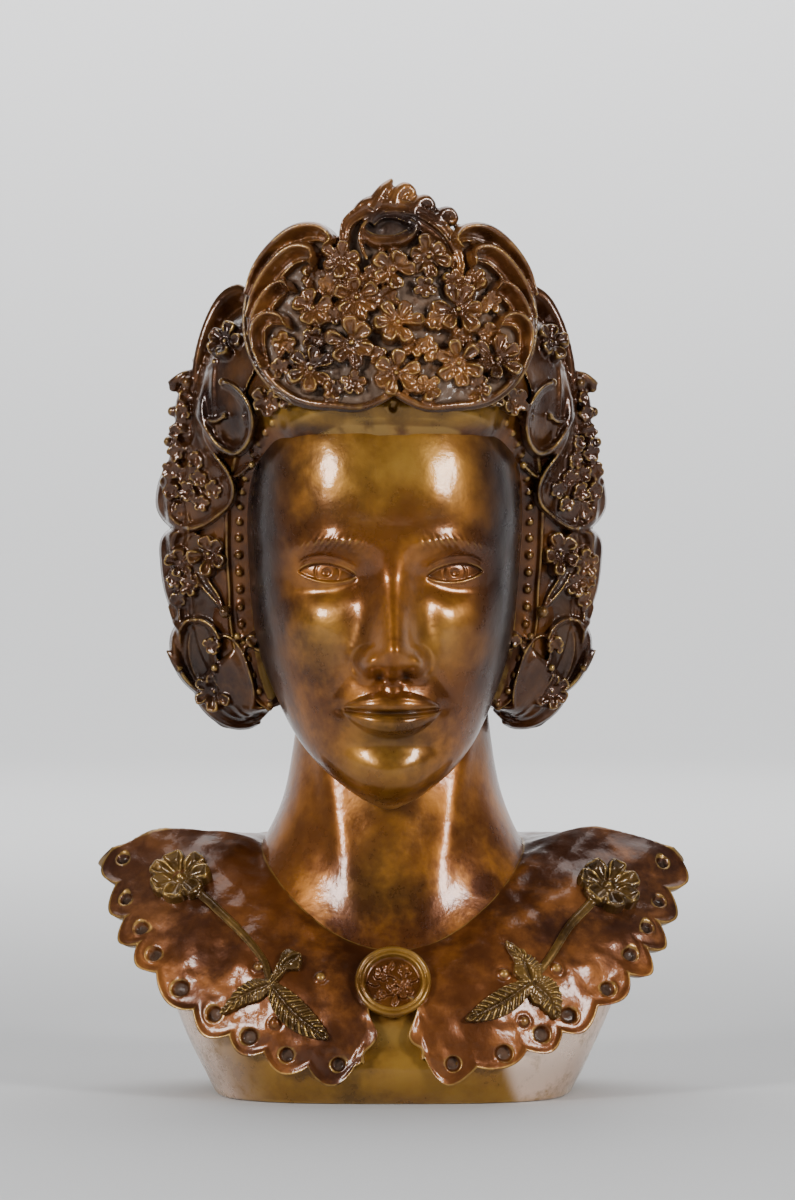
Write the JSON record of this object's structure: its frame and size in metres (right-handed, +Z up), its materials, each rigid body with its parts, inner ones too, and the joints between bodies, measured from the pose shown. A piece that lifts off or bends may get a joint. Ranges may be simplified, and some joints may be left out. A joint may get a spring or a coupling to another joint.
{
  "type": "bronze bust",
  "caption": "Life-size cast bronze bust of a woman in a tall flowered headdress and a scalloped lace collar, standing on its own flat base.",
  "frame": {"origin": "on the base plane, at the middle of the bust's width and depth", "axes": "+Z up, the face looks along -Y, +X to the viewer's right"},
  "size_m": [0.2874, 0.2123, 0.4481],
  "materials": {
    "bronze": "cast bronze with a glossy waxed brown patina, rubbed to gold on the raised edges"
  },
  "bodies": {
    "root": {"bronze_bust": "bronze"}
  },
  "joints": []
}
